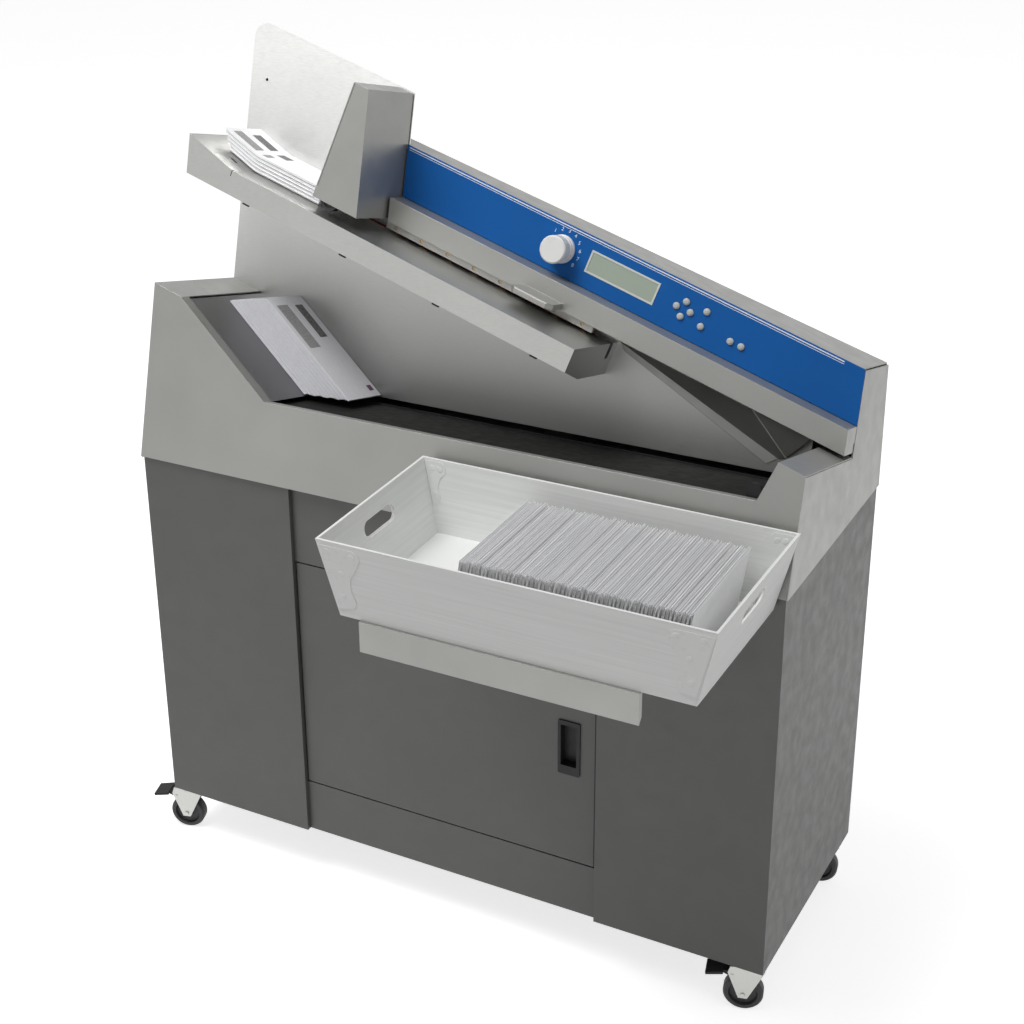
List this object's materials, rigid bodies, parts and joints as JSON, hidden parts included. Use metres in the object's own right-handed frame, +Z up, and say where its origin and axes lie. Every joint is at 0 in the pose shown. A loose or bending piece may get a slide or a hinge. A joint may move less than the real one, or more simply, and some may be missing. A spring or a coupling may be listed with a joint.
{
  "type": "electric letter opener",
  "caption": "Floor-standing electric letter opener on a wheeled cabinet, with sloping feed table, hinged covers, output ramp and a front mail tray.",
  "frame": {"origin": "on the floor, under the middle of the whole machine's bounding box", "axes": "+X to the operator's right along the machine, +Y to the rear, +Z up"},
  "size_m": [1.1856, 0.734, 1.3967],
  "materials": {
    "cabinet_grey": "fine matt powder coat",
    "body_grey": "satin powder coat",
    "frame_zinc": "zinc-plated",
    "stainless": "brushed",
    "panel_blue": "satin blue film",
    "screen": "pale screen",
    "knob_silver": "satin silver",
    "button_grey": "satin",
    "black_plastic": "fine grain",
    "belt_red": "smooth",
    "belt_black": "woven face",
    "roller_brass": "turned",
    "steel": "ground",
    "wheel_dark": "hard tread",
    "tray_white": "fluted board",
    "paper": "uncoated paper"
  },
  "bodies": {
    "cabinet": {"base_frame": "cabinet_grey", "cabinet_shell": "cabinet_grey", "door_surround": "cabinet_grey", "waste_bin": "black_plastic", "tray_shelf": "body_grey", "fascia": "body_grey", "side_plates": "body_grey", "ramp_plate": "stainless", "control_housing": "body_grey", "back_plate": "stainless", "feed_deck": "stainless", "transport_belt": "belt_red", "separator_frame": "frame_zinc", "drive_motors": "black_plastic", "control_panel": "panel_blue", "display": "screen", "electrics": "black_plastic", "conveyor_belt": "belt_black", "conveyor_frame": "frame_zinc", "chute_deflector": "body_grey"},
    "door": {"cabinet_door": "cabinet_grey", "door_handle": "black_plastic"},
    "caster_fl": {"caster_fork_fl": "frame_zinc"},
    "wheel_fl": {"caster_wheel_fl": "wheel_dark"},
    "brake_fl": {"brake_pedal_fl": "black_plastic"},
    "caster_fr": {"caster_fork_fr": "frame_zinc"},
    "wheel_fr": {"caster_wheel_fr": "wheel_dark"},
    "brake_fr": {"brake_pedal_fr": "black_plastic"},
    "caster_rl": {"caster_fork_rl": "frame_zinc"},
    "wheel_rl": {"caster_wheel_rl": "wheel_dark"},
    "caster_rr": {"caster_fork_rr": "frame_zinc"},
    "wheel_rr": {"caster_wheel_rr": "wheel_dark"},
    "knob": {"selector_knob": "knob_silver"},
    "button_left_body": {"button_left": "button_grey"},
    "button_right_body": {"button_right": "button_grey"},
    "button_up_body": {"button_up": "button_grey"},
    "button_down_body": {"button_down": "button_grey"},
    "button_menu_body": {"button_menu": "button_grey"},
    "button_enter_body": {"button_enter": "button_grey"},
    "button_start_body": {"button_start": "button_grey"},
    "button_stop_body": {"button_stop": "button_grey"},
    "belt_drive": {"belt_drive_pulley": "steel"},
    "belt_idler": {"belt_idler_pulley": "steel"},
    "transport_cover_body": {"transport_cover": "body_grey"},
    "roller_1": {"transport_roller_1": "roller_brass"},
    "roller_2": {"transport_roller_2": "roller_brass"},
    "roller_3": {"transport_roller_3": "roller_brass"},
    "roller_4": {"transport_roller_4": "roller_brass"},
    "roller_5": {"transport_roller_5": "roller_brass"},
    "roller_6": {"transport_roller_6": "roller_brass"},
    "roller_7": {"transport_roller_7": "roller_brass"},
    "feeder_cover_body": {"feeder_cover": "body_grey"},
    "feed_wheel": {"feed_roller": "wheel_dark"},
    "cutter": {"milling_cutter": "steel"},
    "conveyor_drive": {"conveyor_roller": "steel"},
    "tray": {"mail_tray": "tray_white"},
    "tray_letters": {"tray_mail": "paper"},
    "feed_letters": {"feed_stack": "paper"},
    "output_letters": {"output_stack": "paper"}
  },
  "joints": [
    {"name": "door_hinge", "type": "hinge", "parent": "cabinet", "child": "door", "pos_m": [-0.24544, -0.04579, 0.4], "axis": [0, 0, -1], "range_deg": [0, 100]},
    {"name": "caster_swivel_fl", "type": "hinge", "parent": "cabinet", "child": "caster_fl", "pos_m": [-0.51694, -0.03079, 0.081], "axis": [0, 0, 1], "continuous": true},
    {"name": "wheel_spin_fl", "type": "hinge", "parent": "caster_fl", "child": "wheel_fl", "pos_m": [-0.53046, -0.03441, 0.03175], "axis": [0.2588, -0.9659, 0], "continuous": true},
    {"name": "brake_press_fl", "type": "hinge", "parent": "caster_fl", "child": "brake_fl", "pos_m": [-0.54785, -0.03907, 0.068], "axis": [0.2588, -0.9659, 0], "range_deg": [0, 12]},
    {"name": "caster_swivel_fr", "type": "hinge", "parent": "cabinet", "child": "caster_fr", "pos_m": [0.55506, -0.03079, 0.081], "axis": [0, 0, 1], "continuous": true},
    {"name": "wheel_spin_fr", "type": "hinge", "parent": "caster_fr", "child": "wheel_fr", "pos_m": [0.54154, -0.03441, 0.03175], "axis": [0.2588, -0.9659, 0], "continuous": true},
    {"name": "brake_press_fr", "type": "hinge", "parent": "caster_fr", "child": "brake_fr", "pos_m": [0.52416, -0.03907, 0.068], "axis": [0.2588, -0.9659, 0], "range_deg": [0, 12]},
    {"name": "caster_swivel_rl", "type": "hinge", "parent": "cabinet", "child": "caster_rl", "pos_m": [-0.51694, 0.33921, 0.081], "axis": [0, 0, 1], "continuous": true},
    {"name": "wheel_spin_rl", "type": "hinge", "parent": "caster_rl", "child": "wheel_rl", "pos_m": [-0.53072, 0.33678, 0.03175], "axis": [0.1736, -0.9848, 0], "continuous": true},
    {"name": "caster_swivel_rr", "type": "hinge", "parent": "cabinet", "child": "caster_rr", "pos_m": [0.55506, 0.33921, 0.081], "axis": [0, 0, 1], "continuous": true},
    {"name": "wheel_spin_rr", "type": "hinge", "parent": "caster_rr", "child": "wheel_rr", "pos_m": [0.54128, 0.33678, 0.03175], "axis": [0.1736, -0.9848, 0], "continuous": true},
    {"name": "knob_turn", "type": "hinge", "parent": "cabinet", "child": "knob", "pos_m": [0.07383, 0.27138, 1.10216], "axis": [0, 0.9636, -0.2672], "range_deg": [0, 165]},
    {"name": "press_left", "type": "slide", "parent": "cabinet", "child": "button_left_body", "axis": [0, 0.9636, -0.2672], "range_m": [0, 0.0015], "stiffness_N_per_m": 300, "springref_m": -0.0005},
    {"name": "press_right", "type": "slide", "parent": "cabinet", "child": "button_right_body", "axis": [0, 0.9636, -0.2672], "range_m": [0, 0.0015], "stiffness_N_per_m": 300, "springref_m": -0.0005},
    {"name": "press_up", "type": "slide", "parent": "cabinet", "child": "button_up_body", "axis": [0, 0.9636, -0.2672], "range_m": [0, 0.0015], "stiffness_N_per_m": 300, "springref_m": -0.0005},
    {"name": "press_down", "type": "slide", "parent": "cabinet", "child": "button_down_body", "axis": [0, 0.9636, -0.2672], "range_m": [0, 0.0015], "stiffness_N_per_m": 300, "springref_m": -0.0005},
    {"name": "press_menu", "type": "slide", "parent": "cabinet", "child": "button_menu_body", "axis": [0, 0.9636, -0.2672], "range_m": [0, 0.0015], "stiffness_N_per_m": 300, "springref_m": -0.0005},
    {"name": "press_enter", "type": "slide", "parent": "cabinet", "child": "button_enter_body", "axis": [0, 0.9636, -0.2672], "range_m": [0, 0.0015], "stiffness_N_per_m": 300, "springref_m": -0.0005},
    {"name": "press_start", "type": "slide", "parent": "cabinet", "child": "button_start_body", "axis": [0, 0.9636, -0.2672], "range_m": [0, 0.0015], "stiffness_N_per_m": 300, "springref_m": -0.0005},
    {"name": "press_stop", "type": "slide", "parent": "cabinet", "child": "button_stop_body", "axis": [0, 0.9636, -0.2672], "range_m": [0, 0.0015], "stiffness_N_per_m": 300, "springref_m": -0.0005},
    {"name": "belt_drive_spin", "type": "hinge", "parent": "cabinet", "child": "belt_drive", "pos_m": [0.14301, 0.21601, 0.98108], "axis": [0, 0.9636, -0.2672], "continuous": true},
    {"name": "belt_idler_spin", "type": "hinge", "parent": "cabinet", "child": "belt_idler", "pos_m": [-0.33801, 0.25531, 1.1228], "axis": [0, 0.9636, -0.2672], "continuous": true},
    {"name": "transport_cover_hinge", "type": "hinge", "parent": "cabinet", "child": "transport_cover_body", "pos_m": [0.12853, 0.24844, 1.04006], "axis": [-0.9563, 0.0781, 0.2817], "range_deg": [0, 24]},
    {"name": "roller_spin_1", "type": "hinge", "parent": "transport_cover_body", "child": "roller_1", "pos_m": [-0.20738, 0.25067, 1.10608], "axis": [0, 0.9636, -0.2672], "continuous": true},
    {"name": "roller_spin_2", "type": "hinge", "parent": "transport_cover_body", "child": "roller_2", "pos_m": [-0.15765, 0.24661, 1.09143], "axis": [0, 0.9636, -0.2672], "continuous": true},
    {"name": "roller_spin_3", "type": "hinge", "parent": "transport_cover_body", "child": "roller_3", "pos_m": [-0.10792, 0.24254, 1.07678], "axis": [0, 0.9636, -0.2672], "continuous": true},
    {"name": "roller_spin_4", "type": "hinge", "parent": "transport_cover_body", "child": "roller_4", "pos_m": [-0.05819, 0.23848, 1.06213], "axis": [0, 0.9636, -0.2672], "continuous": true},
    {"name": "roller_spin_5", "type": "hinge", "parent": "transport_cover_body", "child": "roller_5", "pos_m": [-0.00846, 0.23442, 1.04748], "axis": [0, 0.9636, -0.2672], "continuous": true},
    {"name": "roller_spin_6", "type": "hinge", "parent": "transport_cover_body", "child": "roller_6", "pos_m": [0.09099, 0.22629, 1.01818], "axis": [0, 0.9636, -0.2672], "continuous": true},
    {"name": "roller_spin_7", "type": "hinge", "parent": "transport_cover_body", "child": "roller_7", "pos_m": [0.14072, 0.22223, 1.00353], "axis": [0, 0.9636, -0.2672], "continuous": true},
    {"name": "feeder_cover_hinge", "type": "hinge", "parent": "cabinet", "child": "feeder_cover_body", "pos_m": [-0.25509, 0.3327, 1.31431], "axis": [-0.9563, 0.0781, 0.2817], "range_deg": [0, 60]},
    {"name": "feed_roller_spin", "type": "hinge", "parent": "cabinet", "child": "feed_wheel", "pos_m": [-0.28011, 0.1653, 1.16683], "axis": [0, 0.9636, -0.2672], "continuous": true},
    {"name": "cutter_spin", "type": "hinge", "parent": "cabinet", "child": "cutter", "pos_m": [0.03846, 0.28514, 1.00811], "axis": [0.2924, 0.2556, 0.9215], "continuous": true},
    {"name": "conveyor_spin", "type": "hinge", "parent": "cabinet", "child": "conveyor_drive", "pos_m": [0.48906, 0.08883, 0.81623], "axis": [0, 0.9636, -0.2672], "continuous": true},
    {"name": "tray_lift", "type": "slide", "parent": "cabinet", "child": "tray", "axis": [0, 0, 1], "range_m": [0, 0.15]},
    {"name": "tray_mail_lift", "type": "slide", "parent": "tray", "child": "tray_letters", "axis": [0, 0, 1], "range_m": [0, 0.12]},
    {"name": "feed_stack_lift", "type": "slide", "parent": "cabinet", "child": "feed_letters", "axis": [0.2924, 0.2556, 0.9215], "range_m": [0, 0.08]},
    {"name": "output_stack_lift", "type": "slide", "parent": "cabinet", "child": "output_letters", "axis": [0.6307, 0.2074, 0.7478], "range_m": [0, 0.06]}
  ],
  "couplings": [
    {"joint": "belt_idler_spin", "follows": "belt_drive_spin", "ratio": 1},
    {"joint": "roller_spin_1", "follows": "belt_drive_spin", "ratio": -1.03},
    {"joint": "roller_spin_2", "follows": "belt_drive_spin", "ratio": -1.03},
    {"joint": "roller_spin_3", "follows": "belt_drive_spin", "ratio": -1.03},
    {"joint": "roller_spin_4", "follows": "belt_drive_spin", "ratio": -1.03},
    {"joint": "roller_spin_5", "follows": "belt_drive_spin", "ratio": -1.03},
    {"joint": "roller_spin_6", "follows": "belt_drive_spin", "ratio": -1.03},
    {"joint": "roller_spin_7", "follows": "belt_drive_spin", "ratio": -1.03}
  ]
}
